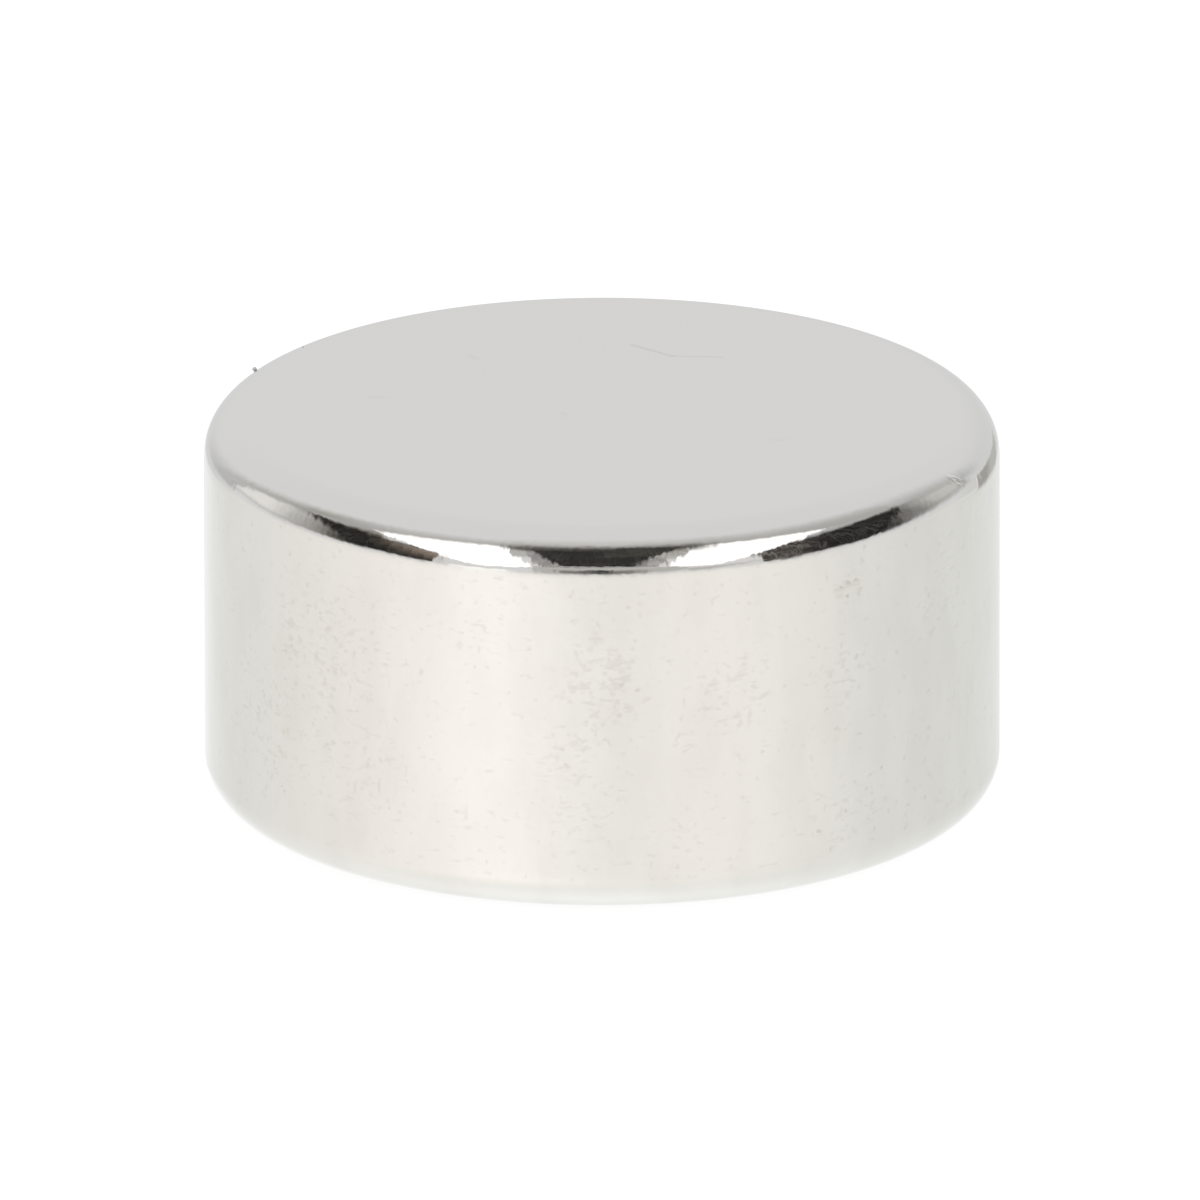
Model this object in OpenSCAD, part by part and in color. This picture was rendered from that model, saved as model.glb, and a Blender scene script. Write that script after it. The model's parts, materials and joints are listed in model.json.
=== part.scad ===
// Disc magnet, pressed and sintered in one piece, its rims tumbled round and the whole
// plated with bright nickel. Lengths are in millimetres. The disc lies on its lower face:
// the origin is that face's centre, and +Z is the disc's axis.

/* [Disc] */
// Diameter over the wall
disc_d = 20; // [10:0.5:50]
// Height from the lower face to the upper face
disc_h = 10; // [6:0.5:30]

/* [Rims] */
// Radius of the rounding between the wall and each face
rim_r = 1.1; // [0.2:0.05:2.5]

/* [Hidden] */
// Segments in a full turn
$fn = 180;
// Radius over the wall
disc_r = disc_d / 2;
// Height of the wall's straight stretch, between the two roundings
wall_h = disc_h - 2 * rim_r;
// Heights of the centres of the two roundings
lower_rim_z = rim_r;
upper_rim_z = disc_h - rim_r;
// Shares of red, green and blue in bright nickel
nickel = [0.83, 0.82, 0.80];

// One rounded end of the half-section: a flat bar out from the axis, with a full round
// on its end that meets the face and the wall at a tangent.
module rim_section(centre_z) {
    translate([0, centre_z - rim_r]) square([disc_r - rim_r, 2 * rim_r]);
    translate([disc_r - rim_r, centre_z]) circle(r = rim_r);
}

// Half of the disc's section, from the axis at x = 0 out to the wall.
module half_section() {
    rim_section(lower_rim_z);
    translate([0, rim_r]) square([disc_r, wall_h]);
    rim_section(upper_rim_z);
}

// The whole disc, turned about its axis.
module magnet_disc() {
    color(nickel) rotate_extrude() half_section();
}

magnet_disc();
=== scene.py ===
"""Disc magnet in bright nickel plate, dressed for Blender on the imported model.

The disc stands on its lower face at the origin, with +Z as its axis and -Y towards the camera.
Every length is in metres. Directions round the disc are azimuths in degrees: 0 faces the
camera, 90 is to its right, and 180 is behind the disc.
"""
import json
import logging
import math
from dataclasses import dataclass
from enum import Enum
from typing import Any, Iterable, Sequence

import bmesh
import bpy
from mathutils import Matrix, Vector, noise


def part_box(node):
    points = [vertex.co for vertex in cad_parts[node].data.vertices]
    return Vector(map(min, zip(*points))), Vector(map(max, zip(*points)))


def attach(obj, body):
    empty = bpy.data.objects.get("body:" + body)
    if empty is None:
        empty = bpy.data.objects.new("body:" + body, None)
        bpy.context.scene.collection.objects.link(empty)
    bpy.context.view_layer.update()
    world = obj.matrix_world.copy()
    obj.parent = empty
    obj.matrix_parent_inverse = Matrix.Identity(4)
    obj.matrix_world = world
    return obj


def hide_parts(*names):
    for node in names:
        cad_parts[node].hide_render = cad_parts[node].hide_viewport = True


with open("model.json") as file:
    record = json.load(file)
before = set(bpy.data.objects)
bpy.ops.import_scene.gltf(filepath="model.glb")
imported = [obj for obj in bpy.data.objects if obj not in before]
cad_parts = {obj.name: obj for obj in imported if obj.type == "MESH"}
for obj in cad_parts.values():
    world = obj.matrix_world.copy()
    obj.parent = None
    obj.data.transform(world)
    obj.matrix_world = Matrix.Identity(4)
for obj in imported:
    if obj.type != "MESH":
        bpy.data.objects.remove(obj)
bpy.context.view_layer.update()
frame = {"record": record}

LOG = logging.getLogger("disc_magnet")
# Lengths: a millimetre, and the distance under which two points are the same
MM = 0.001
SMALLEST = 1e-7
# How much of a direction has to point at a panel's plane for it to start and be seen in full
NEAREST = (0.05, 0.06)
Colour = tuple[float, float, float]
Span = tuple[float, float]
Value = Any


class Node(Enum):
    """The CAD nodes that a piece can stand for."""

    DISC = "magnet_disc"


class Body(Enum):
    """The bodies that a piece can ride on."""

    ROOT = "root"


class Slot(Enum):
    """The record's material slots."""

    NICKEL = "nickel_plate"
    DUST = "iron_dust"


class Tone(Enum):
    """The shades that the panels of the light tent show to the metal."""

    LAMP = (1.45, 1.45, 1.45)
    LIT_FLOOR = (1.20, 1.20, 1.18)
    PALE = (0.87, 0.87, 0.86)
    BACK_CLOTH = (0.715, 0.73, 0.735)
    LIGHT_GREY = (0.625, 0.625, 0.61)
    SHADE = (0.53, 0.535, 0.515)
    REAR_CLOTH = (0.485, 0.495, 0.50)
    FRAME = (0.46, 0.46, 0.45)
    PALE_FOLD = (0.425, 0.435, 0.43)
    WARM_GREY = (0.41, 0.405, 0.39)
    FRONT_FRAME = (0.325, 0.325, 0.325)
    LINE = (0.315, 0.32, 0.28)
    BROWN = (0.33, 0.27, 0.22)
    DEEP_FOLD = (0.24, 0.23, 0.225)
    DIM = (0.16, 0.15, 0.13)
    UNDERSIDE = (0.12, 0.115, 0.105)
    SHADOW = (0.08, 0.08, 0.08)
    DARK_BROWN = (0.07, 0.065, 0.06)
    DARK = (0.052, 0.052, 0.046)
    OPENING = (0.034, 0.033, 0.031)
    BLACK = (0.02, 0.02, 0.019)


def outward(azimuth: float, elevation: float) -> Vector:
    """Turns two angles into a direction.

    Args:
        azimuth: degrees from the camera's side towards +X.
        elevation: degrees above the horizon.

    Returns:
        The unit vector from the disc in that direction.
    """
    turn, rise = math.radians(azimuth), math.radians(elevation)
    return Vector((math.sin(turn) * math.cos(rise), -math.cos(turn) * math.cos(rise), math.sin(rise)))


@dataclass(frozen=True)
class DiscSizes:
    """The disc's real sizes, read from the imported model."""

    radius: float
    height: float
    rim: float

    @classmethod
    def from_frame(cls, record: dict) -> "DiscSizes":
        """Reads the sizes.

        Args:
            record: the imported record.

        Returns:
            The sizes of the disc node and of its straight wall.
        """
        low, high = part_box(Node.DISC.value)
        wall = next(mount for mount in record["mounts"] if mount["name"] == "wall")
        height = high[2] - low[2]
        return cls((high[0] - low[0]) / 2, height, (height - wall["dims"]["length_mm"] * MM) / 2)

    def on_wall(self, azimuth: float, height: float) -> Vector:
        """Gives the wall's point at an azimuth in degrees and a height."""
        return outward(azimuth, 0) * self.radius + Vector((0, 0, height))

    def on_rim(self, azimuth: float, tilt: float) -> Vector:
        """Finds a point on the upper rim.

        Args:
            azimuth: degrees round the disc.
            tilt: degrees down from the upper face, 0 at the face and 90 at the wall.

        Returns:
            The point on the rounding.
        """
        reach = self.radius - self.rim + self.rim * math.sin(math.radians(tilt))
        rise = self.height - self.rim + self.rim * math.cos(math.radians(tilt))
        return outward(azimuth, 0) * reach + Vector((0, 0, rise))


class Graph:
    """Adds nodes to a node tree, so that a finish reads as a few lines."""

    def __init__(self, tree: bpy.types.NodeTree) -> None:
        """Clears the tree and keeps it."""
        self.tree = tree
        tree.nodes.clear()

    def add(self, kind: str, **settings: Any) -> bpy.types.Node:
        """Adds a node.

        Args:
            kind: the node's type name.
            settings: the node's own settings, by name.

        Returns:
            The new node.
        """
        node = self.tree.nodes.new(kind)
        for name, value in settings.items():
            setattr(node, name, value)
        return node

    def feed(self, socket: bpy.types.NodeSocket, value: Value) -> None:
        """Links a socket to an input, or writes a plain value on it.

        Args:
            socket: the input.
            value: a socket to link, or a value to write.
        """
        if isinstance(value, bpy.types.NodeSocket):
            self.tree.links.new(value, socket)
        else:
            socket.default_value = value

    def maths(self, operation: str, *values: Value, clamp: bool = False) -> bpy.types.NodeSocket:
        """Adds a Math node.

        Args:
            operation: the node's operation.
            values: its inputs in order.
            clamp: whether the result stays within 0 to 1.

        Returns:
            The result's socket.
        """
        node = self.add("ShaderNodeMath", operation=operation, use_clamp=clamp)
        for socket, value in zip(node.inputs, values):
            self.feed(socket, value)
        return node.outputs[0]

    def vectors(self, operation: str, *values: Value) -> bpy.types.NodeSocket:
        """Adds a Vector Math node.

        Args:
            operation: the node's operation.
            values: its inputs in order.

        Returns:
            The socket of the number or vector that the operation gives.
        """
        node = self.add("ShaderNodeVectorMath", operation=operation)
        for socket, value in zip(node.inputs, values):
            self.feed(socket, value)
        single = operation in ("DOT_PRODUCT", "LENGTH", "DISTANCE")
        return node.outputs["Value" if single else "Vector"]

    def step(self, value: Value, low: float, high: float, start: float = 0.0, end: float = 1.0
             ) -> bpy.types.NodeSocket:
        """Adds a smooth step from one level to another.

        Args:
            value: what the step follows.
            low: where the step starts.
            high: where it ends.
            start: the level before it.
            end: the level after it.

        Returns:
            The level's socket.
        """
        node = self.add("ShaderNodeMapRange", interpolation_type="SMOOTHSTEP", clamp=True)
        sign = 1.0 if high > low else -1.0
        if sign < 0:
            low, high, start, end = high, low, end, start
        for socket, number in zip(node.inputs, (value, low, high, start, end)):
            self.feed(socket, number)
        return node.outputs["Result"]

    def grain(self, position: Value, size: float, detail: float = 2.0, distortion: float = 0.0
              ) -> bpy.types.NodeSocket:
        """Adds noise of a real size.

        Args:
            position: the coordinates it follows.
            size: the length of one ripple.
            detail: how many finer layers it has.
            distortion: how far it swirls.

        Returns:
            The socket of the noise, about 0.5 on average.
        """
        node = self.add("ShaderNodeTexNoise")
        for name, value in (("Vector", position), ("Scale", 1 / size), ("Detail", detail),
                            ("Distortion", distortion)):
            self.feed(node.inputs[name], value)
        return node.outputs["Fac"]

    def blend(self, share: Value, first: Value, second: Value) -> bpy.types.NodeSocket:
        """Mixes two colours.

        Args:
            share: how much of the second shows.
            first: a colour or its socket.
            second: a colour or its socket.

        Returns:
            The mixed colour's socket.
        """
        node = self.add("ShaderNodeMix", data_type="RGBA")
        inputs = [socket for socket in node.inputs if socket.type == "RGBA"]
        self.feed(node.inputs[0], share)
        for socket, value in zip(inputs, (first, second)):
            self.feed(socket, value if isinstance(value, bpy.types.NodeSocket) else (*value, 1.0))
        return next(socket for socket in node.outputs if socket.type == "RGBA")


@dataclass(frozen=True)
class Spot:
    """A round place on the wall: azimuth, height, radius and strength."""

    azimuth: float
    height: float
    radius: float
    strength: float = 1.0


class Patch(Spot):
    """A place where fine specks gather."""


class Pit(Spot):
    """One clear pit in the plating."""


@dataclass(frozen=True)
class Scratch:
    """A fine line on the upper face between two points, in metres."""

    start: Span
    end: Span
    width: float
    strength: float


@dataclass(frozen=True)
class NickelPlate:
    """Bright nickel: a mirror on the rims, a little softer on the faces, fine satin on the wall.

    The fades are where the wall, the faces and the cloudy places start and are full, as shares
    of the rim's rounding away from a face. The ranges are the levels of noise between which
    something starts and is full. The cores are the shares of a patch or a pit that are full.
    """

    sizes: DiscSizes
    colour: Colour = (0.82, 0.80, 0.77)
    pit_colour: Colour = (0.50, 0.47, 0.42)
    face_roughness: float = 0.16
    rim_roughness: float = 0.035
    wall_roughness: float = 0.18
    ripple_size: float = 0.26 * MM
    ripple_depth: float = 0.0042 * MM
    ripple_detail: float = 1.0
    wall_fade: Span = (0.80, 0.94)
    face_fade: Span = (0.010, 0.002)
    speck_size: float = 0.22 * MM
    speck_share: float = 0.22
    speck_range: Span = (-0.04, 0.20)
    speck_level: float = 0.66
    least_crowd: float = 0.06
    crowd_pull: float = 0.13
    dot_detail: float = 1.3
    dash_detail: float = 1.6
    dash_length: float = 1.5
    dash_squash: float = 2.0
    speck_swirl: float = 0.2
    patch_core: float = 0.2
    pit_share: float = 0.35
    pit_core: float = 0.3
    pit_swirl: float = 0.22 * MM
    pit_swirl_size: float = 0.8
    haze_size: float = 0.11 * MM
    haze: float = 0.07
    haze_range: Span = (0.54, 0.68)
    cloud_size: float = 1.1 * MM
    cloud_share: float = 0.08
    cloud_squash: float = 0.45
    cloud_detail: float = 2.5
    cloud_range: Span = (0.36, 0.68)
    cloud_fade: Span = (0.70, 0.94)
    line_share: float = 0.35
    patches: tuple[Patch, ...] = (
        Patch(-45, 6.2 * MM, 3.0 * MM, 0.9), Patch(-56, 3.6 * MM, 2.6 * MM, 0.6),
        Patch(-38, 3.4 * MM, 2.2 * MM, 0.6), Patch(-18, 7.6 * MM, 1.5 * MM, 0.5),
        Patch(0, 6.4 * MM, 1.6 * MM, 1.0), Patch(2, 5.4 * MM, 1.1 * MM, 1.0),
        Patch(-5, 4.2 * MM, 1.2 * MM, 0.9), Patch(-4, 2.6 * MM, 1.5 * MM, 0.5),
        Patch(18, 5.7 * MM, 1.7 * MM, 0.8), Patch(12, 1.7 * MM, 2.0 * MM, 0.5),
        Patch(38, 7.9 * MM, 0.8 * MM, 1.2), Patch(37, 5.8 * MM, 1.4 * MM, 0.8),
        Patch(38, 2.0 * MM, 1.6 * MM, 0.6), Patch(58, 6.8 * MM, 1.8 * MM, 0.5),
    )
    pits: tuple[Pit, ...] = (
        Pit(37.9, 8.10 * MM, 0.09 * MM), Pit(36.6, 8.01 * MM, 0.07 * MM), Pit(39.2, 8.15 * MM, 0.08 * MM),
        Pit(37.9, 7.75 * MM, 0.07 * MM), Pit(39.5, 6.10 * MM, 0.08 * MM, 0.7),
        Pit(2.8, 6.13 * MM, 0.07 * MM, 0.6), Pit(5.0, 5.99 * MM, 0.08 * MM, 0.8),
        Pit(2.1, 5.69 * MM, 0.10 * MM, 0.5), Pit(2.5, 5.32 * MM, 0.09 * MM, 0.8),
        Pit(-5.8, 4.41 * MM, 0.09 * MM, 0.6), Pit(-5.1, 4.02 * MM, 0.10 * MM, 0.7),
        Pit(15.1, 5.83 * MM, 0.10 * MM, 0.5), Pit(34.1, 4.88 * MM, 0.08 * MM, 0.5),
        Pit(44.4, 2.99 * MM, 0.09 * MM, 0.9), Pit(53.9, 1.76 * MM, 0.08 * MM),
        Pit(32.7, 1.73 * MM, 0.08 * MM), Pit(37.3, 2.13 * MM, 0.08 * MM, 0.6),
    )
    scratches: tuple[Scratch, ...] = (
        Scratch((0.77 * MM, 5.26 * MM), (1.78 * MM, 4.37 * MM), 0.12 * MM, 0.75),
        Scratch((1.78 * MM, 4.37 * MM), (3.04 * MM, 4.28 * MM), 0.10 * MM, 0.45),
        Scratch((-3.36 * MM, 4.50 * MM), (-3.18 * MM, 4.20 * MM), 0.16 * MM, 0.25),
        Scratch((-5.85 * MM, 1.16 * MM), (-5.45 * MM, 1.12 * MM), 0.18 * MM, 0.22),
        Scratch((-1.00 * MM, -0.10 * MM), (-0.86 * MM, -0.50 * MM), 0.14 * MM, 0.20),
        Scratch((4.30 * MM, -2.32 * MM), (4.62 * MM, -2.30 * MM), 0.14 * MM, 0.22),
    )

    def material(self) -> bpy.types.Material:
        """Builds the material from nodes on Object coordinates.

        Returns:
            The plating's material.
        """
        made = bpy.data.materials.new("bright_nickel")
        made.use_nodes = True
        graph = Graph(made.node_tree)
        position = graph.add("ShaderNodeTexCoord").outputs["Object"]
        parts = graph.add("ShaderNodeSeparateXYZ")
        graph.feed(parts.inputs[0], position)
        half, rim = self.sizes.height / 2, self.sizes.rim
        from_middle = graph.maths("ABSOLUTE", graph.maths("SUBTRACT", parts.outputs["Z"], half))
        wall = graph.step(from_middle, *(half - share * rim for share in self.wall_fade))
        face = graph.step(from_middle, *(half - share * rim for share in self.face_fade))

        specks = self._specks(graph, position, wall)
        pits = self._pits(graph, position, wall)
        lines = self._lines(graph, position, face)
        marks = graph.maths("MULTIPLY_ADD", specks, self.speck_share,
                            graph.maths("MULTIPLY", pits, self.pit_share), clamp=True)
        marks = graph.maths("MULTIPLY_ADD", lines, self.line_share, marks, clamp=True)
        upright = graph.vectors("MULTIPLY", position, (1.0, 1.0, self.cloud_squash))
        cloud = graph.step(graph.grain(upright, self.cloud_size, self.cloud_detail),
                           *self.cloud_range, 0.0, self.cloud_share)
        below = graph.step(parts.outputs["Z"],
                           *(self.sizes.height - share * rim for share in self.cloud_fade))
        marks = graph.maths("MULTIPLY_ADD", cloud, below, marks, clamp=True)
        shade = graph.blend(marks, self.colour, self.pit_colour)

        shader = graph.add("ShaderNodeBsdfPrincipled")
        shader.inputs["Metallic"].default_value = 1.0
        graph.feed(shader.inputs["Base Color"], shade)
        gloss = graph.maths("ADD", graph.step(wall, 0, 1, self.rim_roughness, self.wall_roughness),
                            graph.maths("MULTIPLY", face, self.face_roughness - self.rim_roughness))
        haze = graph.step(graph.grain(position, self.haze_size), *self.haze_range, 0.0, self.haze)
        rim_share = graph.maths("SUBTRACT", graph.maths("SUBTRACT", 1.0, wall), face, clamp=True)
        gloss = graph.maths("MULTIPLY_ADD", haze, rim_share, gloss)
        graph.feed(shader.inputs["Roughness"], gloss)
        graph.feed(shader.inputs["Normal"], self._surface(graph, position, face))
        output = graph.add("ShaderNodeOutputMaterial")
        graph.feed(output.inputs["Surface"], shader.outputs["BSDF"])
        return made

    def _specks(self, graph: Graph, position: Value, wall: Value) -> bpy.types.NodeSocket:
        """Scatters fine soft specks and short dashes, closer together in the patches.

        Args:
            graph: the material's tree.
            position: Object coordinates.
            wall: 1 on the wall.

        Returns:
            The socket of the specks' strength, 0 to 1.
        """
        crowd: Value = self.least_crowd
        for patch in self.patches:
            away = graph.vectors("DISTANCE", position, self.sizes.on_wall(patch.azimuth, patch.height))
            near = graph.step(away, patch.radius, self.patch_core * patch.radius, 0.0, patch.strength)
            crowd = graph.maths("MAXIMUM", crowd, near)
        level = graph.maths("MULTIPLY_ADD", crowd, -self.crowd_pull, self.speck_level)
        dots = graph.grain(position, self.speck_size, self.dot_detail, self.speck_swirl)
        squashed = graph.vectors("MULTIPLY", position, (1.0, 1.0, self.dash_squash))
        dashes = graph.grain(squashed, self.dash_length * self.speck_size, self.dash_detail,
                             self.speck_swirl)
        over = graph.maths("SUBTRACT", graph.maths("MAXIMUM", dots, dashes), level)
        return graph.maths("MULTIPLY", graph.step(over, *self.speck_range), wall)

    def _pits(self, graph: Graph, position: Value, wall: Value) -> bpy.types.NodeSocket:
        """Sets each clear pit in its place, with an uneven edge.

        Args:
            graph: the material's tree.
            position: Object coordinates.
            wall: 1 on the wall.

        Returns:
            The socket of the pits' strength, 0 to 1.
        """
        swirl = graph.add("ShaderNodeTexNoise")
        graph.feed(swirl.inputs["Vector"], position)
        graph.feed(swirl.inputs["Scale"], 1 / (self.pit_swirl_size * self.speck_size))
        shift = graph.vectors("MULTIPLY_ADD", swirl.outputs["Color"], (self.pit_swirl,) * 3,
                              (-self.pit_swirl / 2,) * 3)
        warped = graph.vectors("ADD", position, shift)
        total: Value = 0.0
        for pit in self.pits:
            away = graph.vectors("DISTANCE", warped, self.sizes.on_wall(pit.azimuth, pit.height))
            near = graph.step(away, pit.radius, self.pit_core * pit.radius, 0.0, pit.strength)
            total = graph.maths("MAXIMUM", total, near)
        return graph.maths("MULTIPLY", total, wall)

    def _lines(self, graph: Graph, position: Value, face: Value) -> bpy.types.NodeSocket:
        """Draws the fine scratches on the upper face.

        Args:
            graph: the material's tree.
            position: Object coordinates.
            face: 1 on the flat faces.

        Returns:
            The socket of the scratches' strength, 0 to 1.
        """
        total: Value = 0.0
        for line in self.scratches:
            start = Vector((*line.start, self.sizes.height))
            run = Vector((*line.end, self.sizes.height)) - start
            offset = graph.vectors("SUBTRACT", position, start)
            along = graph.maths("DIVIDE", graph.vectors("DOT_PRODUCT", offset, run.normalized()),
                                run.length, clamp=True)
            foot = graph.vectors("SCALE", (0.0, 0.0, 0.0))
            graph.feed(foot.node.inputs[0], run)
            graph.feed(foot.node.inputs["Scale"], along)
            away = graph.vectors("DISTANCE", offset, foot)
            total = graph.maths("ADD", total, graph.step(away, line.width, 0.0, 0.0, line.strength))
        return graph.maths("MULTIPLY", total, face)

    def _surface(self, graph: Graph, position: Value, face: Value) -> bpy.types.NodeSocket:
        """Gives the plating of the wall and the rims its faint ripple.

        Args:
            graph: the material's tree.
            position: Object coordinates.
            face: 1 on the flat faces.

        Returns:
            The socket of the bumped normal.
        """
        ripple = graph.add("ShaderNodeBump")
        graph.feed(ripple.inputs["Height"], graph.grain(position, self.ripple_size, self.ripple_detail))
        graph.feed(ripple.inputs["Strength"], graph.maths("SUBTRACT", 1.0, face, clamp=True))
        graph.feed(ripple.inputs["Distance"], self.ripple_depth)
        return ripple.outputs["Normal"]


@dataclass(frozen=True)
class IronDust:
    """Matt grey iron dust with a grainy surface."""

    dark: Colour = (0.30, 0.295, 0.285)
    light: Colour = (0.56, 0.55, 0.53)
    roughness: float = 0.75
    grain: float = 0.03 * MM
    bump: float = 0.01 * MM

    def material(self) -> bpy.types.Material:
        """Builds the material from nodes on Object coordinates.

        Returns:
            The dust's material.
        """
        made = bpy.data.materials.new("iron_dust")
        made.use_nodes = True
        graph = Graph(made.node_tree)
        position = graph.add("ShaderNodeTexCoord").outputs["Object"]
        speckle = graph.grain(position, self.grain)
        shader = graph.add("ShaderNodeBsdfPrincipled")
        graph.feed(shader.inputs["Base Color"], graph.blend(speckle, self.dark, self.light))
        shader.inputs["Metallic"].default_value = 0.0
        shader.inputs["Roughness"].default_value = self.roughness
        bump = graph.add("ShaderNodeBump")
        graph.feed(bump.inputs["Height"], speckle)
        graph.feed(bump.inputs["Distance"], self.bump)
        graph.feed(shader.inputs["Normal"], bump.outputs["Normal"])
        output = graph.add("ShaderNodeOutputMaterial")
        graph.feed(output.inputs["Surface"], shader.outputs["BSDF"])
        return made


def finished(mesh: bmesh.types.BMesh, name: str, material: bpy.types.Material) -> bpy.types.Object:
    """Makes a bmesh a smooth object at the origin.

    Args:
        mesh: the shape, in its place. It is freed.
        name: the piece's name.
        material: its finish.

    Returns:
        The new object, linked to the scene.
    """
    for part in mesh.faces:
        part.smooth = True
    data = bpy.data.meshes.new(name)
    mesh.to_mesh(data)
    mesh.free()
    data.materials.append(material)
    made = bpy.data.objects.new(name, data)
    bpy.context.scene.collection.objects.link(made)
    return made


def place(piece: bpy.types.Object, slot: Slot, nodes: Iterable[Node] = ()) -> None:
    """Rides a piece on the disc's body, hides the CAD nodes that it stands for and logs its slot.

    Args:
        piece: the finished object.
        slot: the record's slot of its finish.
        nodes: the CAD nodes that it stands for.
    """
    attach(piece, Body.ROOT.value)
    for node in nodes:
        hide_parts(node.value)
    LOG.info("%s: %d faces, %s", piece.name, len(piece.data.polygons), slot.value)


@dataclass(frozen=True)
class Nick:
    """A shallow knock in the plating of the rim, long along it: its place, size and depths.

    The fades say how steeply the hollow and the crest die away, and the reach is how many half
    lengths round it the plating moves at all.
    """

    azimuth: float = 65.2
    tilt: float = 57.0
    half_length: float = 0.21 * MM
    half_width: float = 0.09 * MM
    depth: float = 0.020 * MM
    crest: float = 0.014 * MM
    lean: float = -0.74
    unevenness: float = 0.004 * MM
    hollow_fade: float = 3.0
    crest_fade: float = 6.0
    uneven_scale: float = 0.8
    reach: float = 2.2


@dataclass
class MagnetDisc:
    """The plated disc, turned from its half-section."""

    sizes: DiscSizes
    finish: NickelPlate
    nick: Nick
    rim_segments: int = 24
    turn_steps: int = 768
    support: float = 0.04 * MM

    def build(self) -> bpy.types.Object:
        """Builds, dresses and places the disc.

        Returns:
            The finished disc.
        """
        mesh = bmesh.new()
        self._half_section(mesh)
        self._turn(mesh)
        self._support_rings(mesh)
        self._knock(mesh)
        piece = finished(mesh, "plated_disc", self.finish.material())
        place(piece, Slot.NICKEL, [Node.DISC])
        return piece

    def _half_section(self, mesh: bmesh.types.BMesh) -> None:
        """Draws the half-section as a wire, with its two outer corners rounded.

        Args:
            mesh: the empty shape, which gets the wire.
        """
        radius, height = self.sizes.radius, self.sizes.height
        corners = [mesh.verts.new(at) for at in
                   ((0, 0, 0), (radius, 0, 0), (radius, 0, height), (0, 0, height))]
        for pair in zip(corners, corners[1:]):
            mesh.edges.new(pair)
        bmesh.ops.bevel(mesh, geom=corners[1:3], offset=self.sizes.rim, offset_type="OFFSET",
                        segments=self.rim_segments, profile=0.5, affect="VERTICES",
                        clamp_overlap=False, material=-1)

    def _turn(self, mesh: bmesh.types.BMesh) -> None:
        """Turns the wire about the axis and closes the poles.

        Args:
            mesh: the shape with the wire.
        """
        bmesh.ops.spin(mesh, geom=mesh.verts[:] + mesh.edges[:], cent=(0, 0, 0), axis=(0, 0, 1),
                       dvec=(0, 0, 0), angle=math.tau, steps=self.turn_steps, use_merge=True,
                       use_normal_flip=False, use_duplicate=False)
        bmesh.ops.remove_doubles(mesh, verts=mesh.verts[:], dist=SMALLEST)
        bmesh.ops.recalc_face_normals(mesh, faces=mesh.faces[:])

    def _support_rings(self, mesh: bmesh.types.BMesh) -> None:
        """Rings each flat face and the wall, so that smooth shading bends only on the rims.

        Args:
            mesh: the turned shape.
        """
        height, rim = self.sizes.height, self.sizes.rim
        for low, high in ((height, height), (0, 0), (rim, height - rim)):
            band = [part for part in mesh.faces
                    if all(low - SMALLEST < corner.co.z < high + SMALLEST for corner in part.verts)]
            bmesh.ops.inset_region(mesh, faces=band, thickness=self.support, use_boundary=True,
                                   use_even_offset=True)

    def _knock(self, mesh: bmesh.types.BMesh) -> None:
        """Raises a small uneven crest over a shallow hollow in the rim's plating.

        Args:
            mesh: the turned shape with its rings.
        """
        nick, sizes = self.nick, self.sizes
        middle = sizes.on_rim(nick.azimuth, nick.tilt)
        along = outward(nick.azimuth + 90, 0)
        upward = outward(nick.azimuth, 90 - nick.tilt).cross(along)
        upward = upward if upward.z > 0 else -upward
        reach = nick.reach * nick.half_length
        near = {edge for edge in mesh.edges
                if all((corner.co - middle).length < reach for corner in edge.verts)}
        bmesh.ops.subdivide_edges(mesh, edges=list(near), cuts=2, use_grid_fill=True)
        bmesh.ops.recalc_face_normals(mesh, faces=mesh.faces[:])
        for corner in mesh.verts:
            offset = corner.co - middle
            if offset.length >= reach:
                continue
            turn = math.atan2(corner.co.y, corner.co.x)
            centre = Vector((math.cos(turn), math.sin(turn), 0)) * (sizes.radius - sizes.rim)
            centre.z = sizes.height - sizes.rim
            run, climb = offset.dot(along), offset.dot(upward)
            share = math.hypot(run / nick.half_length, (climb - nick.lean * run) / nick.half_width)
            hollow = math.exp(-nick.hollow_fade * share ** 2)
            ring = math.exp(-nick.crest_fade * (share - 1.0) ** 2)
            uneven = noise.noise(offset / nick.half_width * nick.uneven_scale) * math.exp(-share ** 2)
            level = sizes.rim - nick.depth * hollow + nick.unevenness * uneven
            level += nick.crest * ring * max(0.0, min(1.0, 0.5 + climb / nick.half_width))
            corner.co = centre + (corner.co - centre).normalized() * level


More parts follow.
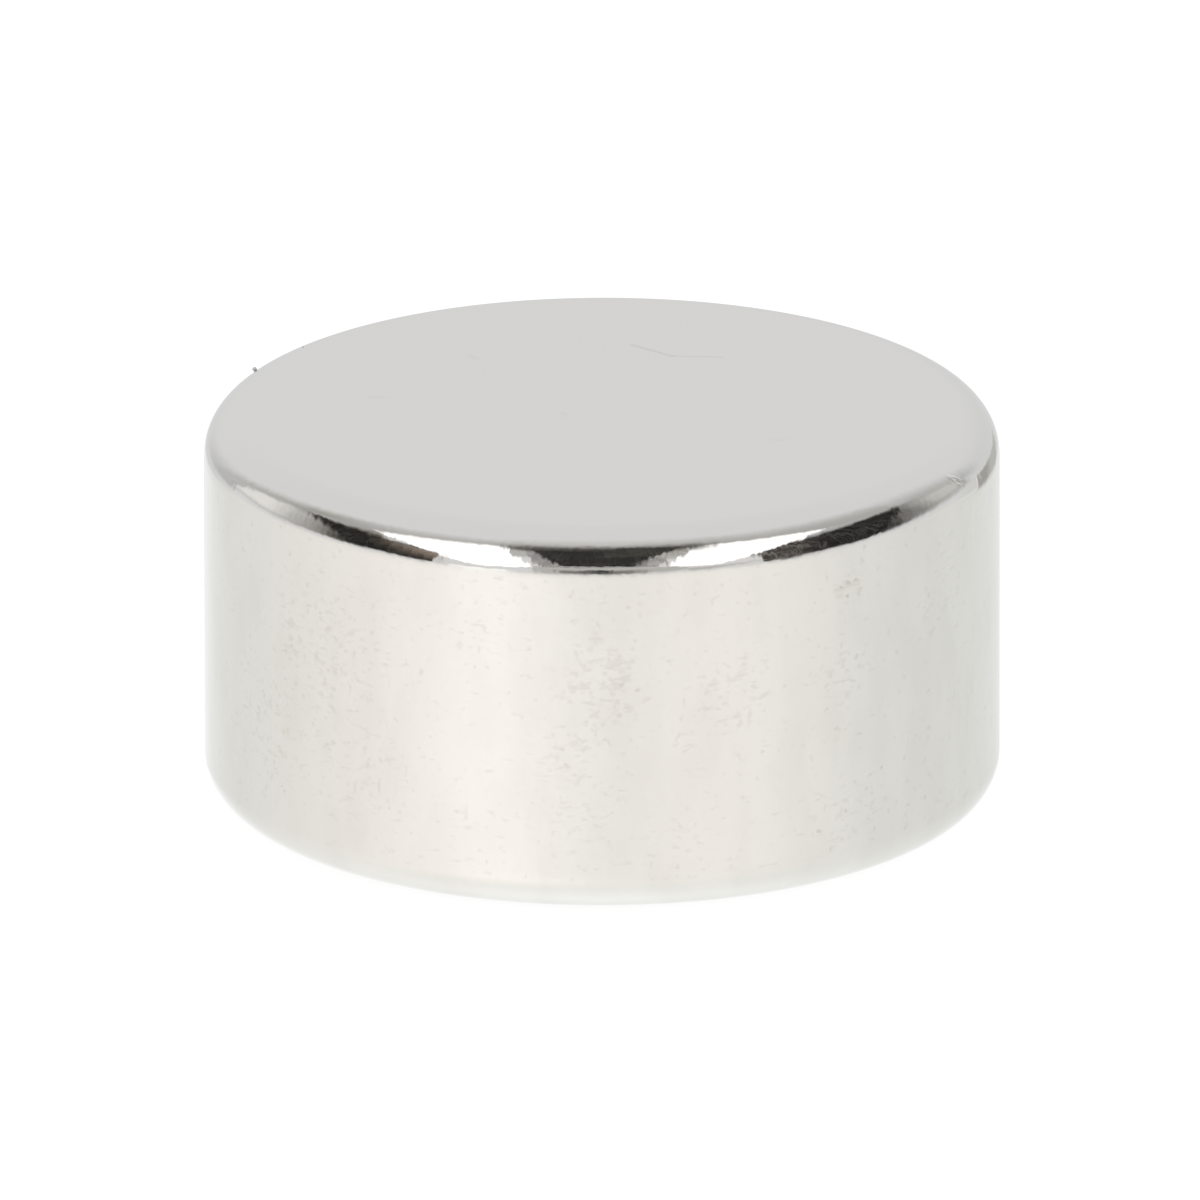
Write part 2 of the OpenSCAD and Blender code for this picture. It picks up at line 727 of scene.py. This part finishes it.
@dataclass
class DustGrain:
    """A grain of iron dust that stands on the rim, its narrower foot sunk in the plating.

    Its lumps and spikes are each a scale and a depth, and the foot is its width as a share of
    the top's. The foot's length and the stand, which is how far its middle stands out, are
    shares of its reach.
    """

    name: str
    sizes: DiscSizes
    finish: bpy.types.Material
    azimuth: float
    tilt: float
    reach: float
    seed: float
    lumps: Span = (1.4, 0.30)
    spikes: Span = (4.0, 0.12)
    foot: float = 0.8
    foot_length: float = 1.3
    shape: tuple[float, float, float] = (1.05, 0.95, 0.95)
    stand: float = 0.85

    def build(self) -> bpy.types.Object:
        """Builds, dresses and places the grain.

        Returns:
            The finished grain.
        """
        mesh = bmesh.new()
        bmesh.ops.create_icosphere(mesh, subdivisions=4, radius=self.reach)
        for corner in mesh.verts:
            lump = noise.noise(corner.co / self.reach * self.lumps[0] + Vector((self.seed, 0, 0)))
            spike = noise.noise(corner.co / self.reach * self.spikes[0] + Vector((0, self.seed, 0)))
            corner.co *= 1 + self.lumps[1] * lump + self.spikes[1] * spike
            climb = max(0.0, min(1.0, (corner.co.z / self.reach + 1.0) / self.foot_length))
            waist = self.foot + (1 - self.foot) * climb
            corner.co.x *= waist
            corner.co.y *= waist
        bmesh.ops.scale(mesh, vec=self.shape, verts=mesh.verts[:])
        away = outward(self.azimuth, 90 - self.tilt)
        turn = Vector((0, 0, 1)).rotation_difference(away).to_matrix()
        bmesh.ops.rotate(mesh, cent=(0, 0, 0), matrix=turn, verts=mesh.verts[:])
        middle = self.sizes.on_rim(self.azimuth, self.tilt) + away * self.reach * self.stand
        bmesh.ops.translate(mesh, vec=middle, verts=mesh.verts[:])
        bmesh.ops.recalc_face_normals(mesh, faces=mesh.faces[:])
        piece = finished(mesh, self.name, self.finish)
        place(piece, Slot.DUST)
        return piece


@dataclass(frozen=True)
class Floor:
    """The pale floor: white to the camera, with a faint soft shadow of the disc."""

    half_width: float = 0.6
    drop: float = 0.01 * MM
    glow: float = 0.90
    shade: float = 0.14

    def build(self) -> bpy.types.Object:
        """Lays the floor just under the disc.

        Returns:
            The floor.
        """
        mesh = bmesh.new()
        bmesh.ops.create_grid(mesh, x_segments=1, y_segments=1, size=self.half_width)
        bmesh.ops.translate(mesh, vec=(0, 0, -self.drop), verts=mesh.verts[:])
        made = finished(mesh, "floor", self.material())
        made.visible_glossy = False
        LOG.info("floor: %.2f m wide", 2 * self.half_width)
        return made

    def material(self) -> bpy.types.Material:
        """Builds a white that is mostly its own light, so that the shadow stays faint.

        Returns:
            The floor's material.
        """
        made = bpy.data.materials.new("pale_floor")
        made.use_nodes = True
        graph = Graph(made.node_tree)
        light = graph.add("ShaderNodeEmission")
        light.inputs["Strength"].default_value = self.glow
        matt = graph.add("ShaderNodeBsdfDiffuse")
        matt.inputs["Color"].default_value = (self.shade, self.shade, self.shade, 1)
        both = graph.add("ShaderNodeAddShader")
        graph.feed(both.inputs[0], light.outputs[0])
        graph.feed(both.inputs[1], matt.outputs[0])
        output = graph.add("ShaderNodeOutputMaterial")
        graph.feed(output.inputs["Surface"], both.outputs[0])
        return made


@dataclass(frozen=True)
class Card:
    """A flat four-sided panel of the light tent.

    Its plane faces the disc from an azimuth and an elevation. Each edge is how far it lies
    from the middle of that plane and how far it leans, and the blurs are those of the left,
    right, lower and upper edges, all in degrees. The wear is how much lighter its worn places
    are than its tone.
    """

    name: str
    facing: Span
    left: Span
    right: Span
    low: Span
    high: Span
    blurs: tuple[float, float, float, float]
    tone: Tone
    wear: float = 0.0

    def axes(self) -> tuple[Vector, Vector, Vector]:
        """Works out the panel's plane.

        Returns:
            Its facing direction, its across and its upward.
        """
        facing = outward(*self.facing)
        across = outward(self.facing[0] + 90, 0)
        upward = across.cross(facing)
        return facing, across, upward if upward.z > 0 else -upward

    def cover(self, graph: Graph, direction: Value) -> bpy.types.NodeSocket:
        """Finds how much of the panel shows in each direction.

        Args:
            graph: the world's tree.
            direction: the direction's socket.

        Returns:
            The socket of its share, 0 to 1.
        """
        facing, across, upward = self.axes()
        ahead = graph.vectors("DOT_PRODUCT", direction, facing)
        depth = graph.maths("MAXIMUM", ahead, NEAREST[0])
        side = graph.maths("DIVIDE", graph.vectors("DOT_PRODUCT", direction, across), depth)
        rise = graph.maths("DIVIDE", graph.vectors("DOT_PRODUCT", direction, upward), depth)
        share = graph.step(ahead, *NEAREST)
        edges = ((side, rise, self.left, self.blurs[0]), (side, rise, self.right, -self.blurs[1]),
                 (rise, side, self.low, self.blurs[2]), (rise, side, self.high, -self.blurs[3]))
        for value, other, (offset, lean), blur in edges:
            if lean:
                value = graph.maths("MULTIPLY_ADD", other, -math.tan(math.radians(lean)), value)
            edge, soft = math.tan(math.radians(offset)), math.radians(blur)
            share = graph.maths("MULTIPLY", share, graph.step(value, edge - soft, edge + soft))
        return share


@dataclass(frozen=True)
class Glow:
    """A soft swell of light on the floor, towards one azimuth and elevation."""

    facing: Span
    sharpness: float
    colour: Colour


@dataclass(frozen=True)
class LightTent:
    """The studio round the disc: white to the camera, and a tent of soft panels to the metal."""

    cards: Sequence[Card]
    glows: Sequence[Glow]
    cloth: Colour = (0.78, 0.785, 0.80)
    floor: Colour = (0.82, 0.835, 0.82)
    floor_edge: Span = (-3.0, -9.0)
    worn: Colour = (1.0, 0.90, 0.84)
    wear_round: float = 38.0
    wear_up: float = 4.5
    wear_detail: float = 1.5
    wear_range: Span = (0.42, 0.68)
    plain: float = 1.0

    def build(self) -> bpy.types.World:
        """Builds the world.

        Returns:
            The world, in use in the scene.
        """
        made = bpy.data.worlds.new("light_tent")
        made.use_nodes = True
        graph = Graph(made.node_tree)
        direction = graph.add("ShaderNodeTexCoord").outputs["Generated"]
        seen = graph.blend(self._below(graph, direction), self.cloth, self._floor(graph, direction))
        worn = self._wear(graph, direction)
        for card in self.cards:
            colour: Value = card.tone.value
            if card.wear:
                light = tuple(part + card.wear * tint for part, tint in zip(colour, self.worn))
                colour = graph.blend(worn, colour, light)
            seen = graph.blend(card.cover(graph, direction), seen, colour)
        metal = graph.add("ShaderNodeBackground")
        graph.feed(metal.inputs["Color"], seen)
        white = graph.add("ShaderNodeBackground")
        white.inputs["Color"].default_value = (1, 1, 1, 1)
        white.inputs["Strength"].default_value = self.plain
        path = graph.add("ShaderNodeLightPath")
        both = graph.add("ShaderNodeMixShader")
        graph.feed(both.inputs[0], path.outputs["Is Glossy Ray"])
        graph.feed(both.inputs[1], white.outputs[0])
        graph.feed(both.inputs[2], metal.outputs[0])
        output = graph.add("ShaderNodeOutputWorld")
        graph.feed(output.inputs["Surface"], both.outputs[0])
        bpy.context.scene.world = made
        LOG.info("light tent: %d panels, %d floor glows", len(self.cards), len(self.glows))
        return made

    def _below(self, graph: Graph, direction: Value) -> bpy.types.NodeSocket:
        """Tells the floor from the cloth behind it.

        Args:
            graph: the world's tree.
            direction: the direction's socket.

        Returns:
            The socket of a level that is 1 below the floor's far edge.
        """
        rise = graph.vectors("DOT_PRODUCT", direction, (0.0, 0.0, 1.0))
        high, low = (math.sin(math.radians(angle)) for angle in self.floor_edge)
        return graph.step(rise, high, low)

    def _wear(self, graph: Graph, direction: Value) -> bpy.types.NodeSocket:
        """Wears the panels in long upright blots round the tent.

        Args:
            graph: the world's tree.
            direction: the direction's socket.

        Returns:
            The socket of the wear, 0 to 1.
        """
        level = graph.vectors("NORMALIZE", graph.vectors("MULTIPLY", direction, (1.0, 1.0, 0.0)))
        place_at = graph.vectors("MULTIPLY_ADD", level, (self.wear_round,) * 3,
                                 graph.vectors("MULTIPLY", direction, (0.0, 0.0, self.wear_up)))
        return graph.step(graph.grain(place_at, 1.0, self.wear_detail), *self.wear_range)

    def _floor(self, graph: Graph, direction: Value) -> bpy.types.NodeSocket:
        """Lights the floor a little more towards each glow.

        Args:
            graph: the world's tree.
            direction: the direction's socket.

        Returns:
            The floor's colour.
        """
        total: Value = self.floor
        for glow in self.glows:
            ahead = graph.vectors("DOT_PRODUCT", direction, outward(*glow.facing))
            near = graph.maths("POWER", graph.maths("MULTIPLY_ADD", ahead, 0.5, 0.5, clamp=True),
                               glow.sharpness)
            swell = graph.vectors("SCALE", glow.colour)
            graph.feed(swell.node.inputs["Scale"], near)
            total = graph.vectors("ADD", total, swell)
        return total


@dataclass(frozen=True)
class SoftLamp:
    """A square soft lamp that lights what isn't metal."""

    name: str
    azimuth: float
    elevation: float = 34.0
    distance: float = 1.4
    width: float = 0.7
    watts: float = 4.0

    def build(self) -> bpy.types.Object:
        """Hangs the lamp, facing the disc.

        Returns:
            The lamp.
        """
        data = bpy.data.lights.new(self.name, "AREA")
        data.shape, data.size, data.energy = "SQUARE", self.width, self.watts
        made = bpy.data.objects.new(self.name, data)
        way = outward(self.azimuth, self.elevation)
        made.matrix_world = Matrix.Translation(way * self.distance) @ way.to_track_quat(
            "Z", "Y").to_matrix().to_4x4()
        made.visible_glossy = False
        made.visible_camera = False
        bpy.context.scene.collection.objects.link(made)
        LOG.info("%s: %.1f W", self.name, self.watts)
        return made


@dataclass(frozen=True)
class ProductCamera:
    """A long lens from the front, looking down on the disc.

    The disc's width and its middle are given in pixels of the picture.
    """

    sizes: DiscSizes
    elevation: float = 18.7
    roll: float = 0.13
    distance: float = 1.075
    pixels_across: float = 795.2
    centre: Span = (602.0, 599.65)
    picture: float = 1200.0
    sensor: float = 36.0
    near: float = 0.2
    far: float = 6.0

    def build(self) -> bpy.types.Object:
        """Sets the camera so that the disc's middle falls on its place in the picture.

        Returns:
            The camera, in use in the scene.
        """
        scale = self.pixels_across / (2 * self.sizes.radius)
        data = bpy.data.cameras.new("camera")
        data.sensor_width = self.sensor
        data.lens = scale * self.distance * self.sensor / self.picture
        data.clip_start, data.clip_end = self.near, self.far
        back = outward(0, self.elevation)
        right = Vector((1, 0, 0))
        up = back.cross(right)
        turn = math.radians(self.roll)
        right, up = (right * math.cos(turn) - up * math.sin(turn),
                     right * math.sin(turn) + up * math.cos(turn))
        offset_x = (self.centre[0] - self.picture / 2) / scale
        offset_y = (self.picture / 2 - self.centre[1]) / scale
        middle = Vector((0, 0, self.sizes.height / 2))
        place_at = middle + back * self.distance - right * offset_x - up * offset_y
        made = bpy.data.objects.new("camera", data)
        turned = Matrix((right, up, back)).transposed().to_4x4()
        made.matrix_world = Matrix.Translation(place_at) @ turned
        bpy.context.scene.collection.objects.link(made)
        bpy.context.scene.camera = made
        LOG.info("camera: %.0f mm lens at %.3f m", data.lens, self.distance)
        return made


# The soft lamps' azimuths
LAMPS = {"left_lamp": -48, "right_lamp": 48}
# The planes of the tent's panels: azimuth and elevation
FRONT, BACK, LEFT, RIGHT = (0, 40), (180, 0), (-90, 10), (90, 10)
LEFT_BOX, RIGHT_BOX, LEFT_FOOT, RIGHT_FOOT = (-46, 27), (46, 27), (-34, 4), (34, 4)
RIGHT_REAR = (150, -10)
# The panels from the furthest to the nearest, each painted over those before it
TENT_CARDS = (
    Card("back cloth", BACK, (-56, 5), (54, 17), (-15, 0), (10, -17), (20, 42, 2.5, 13), Tone.BACK_CLOTH),
    Card("overhead shade", FRONT, (-32, 17), (35, -5), (-4.5, -8), (38.5, 4), (10, 15, 4.5, 31),
         Tone.SHADE),
    Card("left fold", LEFT, (-5.5, -3), (23.5, -17), (14.5, -3), (32, 3), (18, 6, 1.5, 17),
         Tone.DEEP_FOLD),
    Card("right fold", RIGHT, (-27, 16), (43.5, -17), (16.5, -17), (36, -8), (8.5, 21, 6, 32),
         Tone.PALE_FOLD),
    Card("left rear cloth", LEFT, (-60, 17), (-33, 37.5), (-8.5, 9.5), (12.5, 12), (85, 5.5, 4.5, 20),
         Tone.REAR_CLOTH),
    Card("left line", LEFT, (-65.5, 0), (-7, 7), (27, 30), (39.5, 43.5), (17, 10, 7, 20), Tone.LINE),
    Card("left seam", LEFT, (-37.5, 45.5), (-7.5, -17), (-11, -1), (19.5, 23), (3, 7.5, 3, 2.5), Tone.FRAME),
    Card("left patch", LEFT, (-35.5, 42), (-8, 3), (-8, 1.5), (15.5, 8), (4, 17.5, 5.5, 2.5), Tone.PALE),
    Card("left bay", LEFT, (-5.5, -9), (19, -4), (-10, -4.5), (22.5, 6), (19, 4.5, 2.5, 1.5), Tone.DIM),
    Card("left side", LEFT, (10, -44.5), (41.5, -4.5), (-7, -7.5), (21, -1.5), (4, 2, 3.5, 2.5),
         Tone.BLACK, 0.025),
    Card("left side corner", LEFT, (5.5, -17), (29.5, -12), (-9.5, 4.5), (1, 10.5), (7, 2.5, 2.5, 7.5),
         Tone.BLACK, 0.025),
    Card("left brown", LEFT, (32, -27.5), (43, -18.5), (6.5, -3), (22.5, -8.5), (15.5, 1.5, 21, 1),
         Tone.BROWN, 0.10),
    Card("right seam", RIGHT, (10.5, -17), (39.5, -26.5), (-8, 4), (26.5, -15.5), (7, 2.5, 6.5, 2.5),
         Tone.WARM_GREY),
    Card("right patch", RIGHT, (21, -17), (35, 0), (2.5, -7), (21.5, -7.5), (14, 3, 5.5, 7), Tone.LIGHT_GREY),
    Card("right bay", RIGHT, (-4, 4), (14, 3), (-9.5, 8), (25, 0), (1.5, 13, 4, 3), Tone.DARK, 0.06),
    Card("right side", RIGHT, (-43, 12), (0.5, 32.5), (-10.5, 0.5), (25.5, -1.5), (2, 1.5, 3, 4),
         Tone.BLACK, 0.045),
    Card("right brown", RIGHT, (-42, -5.5), (-30, 17), (-17.5, -4), (30, 17), (5, 16, 3.5, 1),
         Tone.DARK_BROWN, 0.14),
    Card("right gleam", RIGHT_REAR, (-14.5, -9), (-13, -9), (-3.5, 0), (8, -10), (1, 1, 2.5, 2.5),
         Tone.PALE),
    Card("right grey patch", RIGHT_REAR, (-12.5, -9), (10.5, 17), (-5, -3), (6, -10), (1.5, 2, 2.5, 1.5),
         Tone.SHADE),
    Card("right grey edge", RIGHT_REAR, (-12.5, -9), (-3, -6), (-5, -3), (6, -10), (1.5, 3, 2.5, 1.5),
         Tone.WARM_GREY),
    Card("front cloth", FRONT, (-22.5, 2), (23.5, -8), (-43, 10.5), (-26.5, -2), (2.5, 3, 6, 1.5),
         Tone.SHADE),
    Card("left foot", LEFT_FOOT, (-11, -17), (10, 17), (-17.5, -1), (-5.5, 0), (3, 4.5, 3, 1.5),
         Tone.LIT_FLOOR),
    Card("right foot", RIGHT_FOOT, (-11, -17), (15, -4), (-4.5, 17), (0, -1.5), (2.5, 2, 2.5, 3), Tone.SHADE),
    Card("left box frame", LEFT_BOX, (-35, -3.5), (19, -10), (23, 13.5), (38.5, 21.5), (10, 3, 4, 23),
         Tone.FRAME),
    Card("left box", LEFT_BOX, (-10, -46), (20, -28), (-27.5, 24), (28.5, 24), (2, 1, 2.5, 5.5), Tone.LAMP),
    Card("left box corner", LEFT_BOX, (-13, -46), (12, 0), (-27.5, 24), (-9.5, 17), (2, 1, 2.5, 1),
         Tone.LAMP),
    Card("right box frame", RIGHT_BOX, (-19.5, 8), (45.5, 17), (16, 9), (40.5, 0), (1.5, 4.5, 7, 29),
         Tone.FRAME),
    Card("right box", RIGHT_BOX, (-21.5, 27), (7, 46), (-23.5, -18), (30.5, -21.5), (1, 2, 2.5, 4),
         Tone.LAMP),
    Card("front frame", FRONT, (-18.5, 2), (15.5, -5.5), (-27, 3), (24, -17), (0.7, 0.3, 1, 2),
         Tone.FRONT_FRAME, 0.15),
    Card("upper right frame", FRONT, (10, 2.5), (20.5, -2), (1.5, 2), (26.5, -8), (0.6, 0.7, 2, 3.5),
         Tone.WARM_GREY, 0.15),
    Card("upper shade", FRONT, (-20, -5), (23, 6), (15.5, -1), (28.5, 5.5), (4, 7, 7, 9), Tone.UNDERSIDE),
    Card("front opening", FRONT, (-15, -5), (12.5, 5), (-23.5, -1.5), (21, 5), (1, 1.5, 0.3, 6),
         Tone.OPENING, 0.02),
    Card("opening, upper right", FRONT, (-1, 10.5), (13.5, 11), (-1, 13.5), (26, -3), (2, 1, 0.3, 3),
         Tone.DARK, 0.025),
    Card("front dark strip", FRONT, (-15, 1), (14, -0.5), (-43, -6), (-34.5, 0), (1.5, 7, 5, 4),
         Tone.DEEP_FOLD),
    Card("front dark core", FRONT, (-8.5, -4), (4.5, 1.5), (-43.5, -17), (-33, -2), (5.5, 2, 7, 1.5),
         Tone.SHADOW),
    Card("left gleam", FRONT, (-23, 3), (-22, 2.5), (10, -4.5), (20.5, 4), (0.3, 0.3, 2, 3), Tone.LAMP),
)
FLOOR_GLOWS = (
    Glow((-31, -26), 22, (0.245, 0.225, 0.225)),
    Glow((33, -16), 8, (0.22, 0.19, 0.175)),
    Glow((-63, -14), 6, (0.18, 0.14, 0.13)),
    Glow((186, -30), 40, (0.17, 0.16, 0.19)),
    Glow((200, -82), 8, (0.25, 0.26, 0.27)),
    Glow((-172, -19), 60, (0.05, 0.05, 0.05)),
)


def main() -> None:
    """Builds the disc, its dust and the studio, in order."""
    logging.basicConfig(level=logging.INFO, format="%(name)s: %(message)s")
    sizes = DiscSizes.from_frame(frame["record"])
    LOG.info("disc: %.1f mm across, %.1f mm high", 2 * sizes.radius / MM, sizes.height / MM)
    ProductCamera(sizes).build()
    MagnetDisc(sizes, NickelPlate(sizes), Nick()).build()
    dust = IronDust().material()
    DustGrain("dust_grain", sizes, dust, azimuth=-114.9, tilt=40, reach=0.056 * MM, seed=3.1).build()
    DustGrain("dust_speck", sizes, dust, azimuth=-125.1, tilt=16, reach=0.014 * MM, seed=7.4).build()
    Floor().build()
    LightTent(TENT_CARDS, FLOOR_GLOWS).build()
    for name, azimuth in LAMPS.items():
        SoftLamp(name, azimuth).build()
    bpy.context.scene.view_settings.view_transform = "Standard"


if __name__ == "__main__":
    main()
